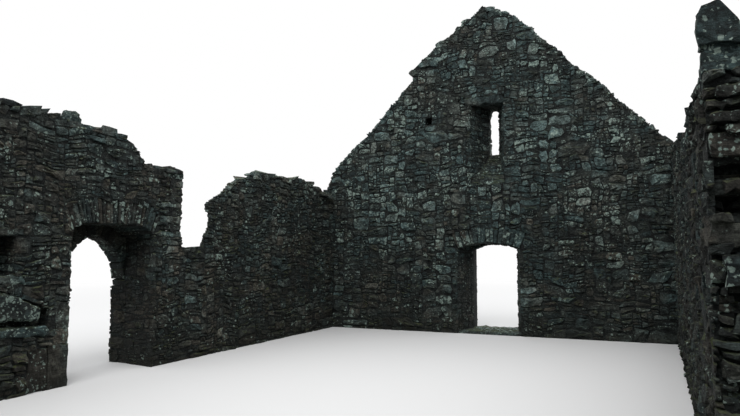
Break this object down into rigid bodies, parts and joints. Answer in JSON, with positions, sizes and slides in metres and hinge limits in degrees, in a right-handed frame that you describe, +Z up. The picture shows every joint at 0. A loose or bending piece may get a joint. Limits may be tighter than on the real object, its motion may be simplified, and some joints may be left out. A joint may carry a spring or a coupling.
{
  "type": "ruined stone chapel",
  "caption": "Roofless rubble-stone chapel: two gables with lancet windows, broken side walls, two arched doorways and a wall niche.",
  "frame": {"origin": "on the ground, at the middle of the plan", "axes": "+Y along the nave towards the gable that has the doorway, +X to the right seen that way, +Z up"},
  "size_m": [8.22, 14.3, 6.33],
  "materials": {
    "rubble_stone": "thin slaty rubble laid in rough courses, dark deep joints, pale lichen and moss",
    "dressed_stone": "split and squared slabs of the same slaty stone, lichen spotted"
  },
  "bodies": {
    "root": {"door_gable_left": "rubble_stone", "door_gable_right": "rubble_stone", "door_gable_head": "rubble_stone", "door_gable_window_pier_left": "rubble_stone", "door_gable_window_pier_right": "rubble_stone", "door_gable_peak": "rubble_stone", "gable_door_rear_arch": "dressed_stone", "gable_door_front_arch": "dressed_stone", "gable_door_threshold": "dressed_stone", "window_sloping_sill": "rubble_stone", "window_frame": "dressed_stone", "window_rear_slab": "dressed_stone", "left_wall_corner": "rubble_stone", "left_wall_breach_sill": "rubble_stone", "left_wall_breach_quoins": "dressed_stone", "side_door_pier": "rubble_stone", "side_door_head": "rubble_stone", "side_door_rear_arch": "dressed_stone", "side_door_front_arch": "dressed_stone", "side_door_jamb_stones": "dressed_stone", "left_wall_niche_stretch": "rubble_stone", "niche_sill_slab": "dressed_stone", "niche_lintel": "dressed_stone", "left_wall_hollow_block": "dressed_stone", "left_wall_ledge_slab": "dressed_stone", "wall_top_boulder": "dressed_stone", "left_wall_far": "rubble_stone", "right_wall_corner": "rubble_stone", "right_wall_end_quoins": "dressed_stone", "right_wall_upright_stone": "dressed_stone", "right_wall_footing": "rubble_stone", "right_wall_far": "rubble_stone", "end_gable_base": "rubble_stone", "end_gable_window_pier_left": "rubble_stone", "end_gable_window_pier_right": "rubble_stone", "end_gable_peak": "rubble_stone", "end_window_sloping_sill": "rubble_stone", "end_window_frame": "dressed_stone", "end_window_rear_slab": "dressed_stone"}
  },
  "joints": []
}
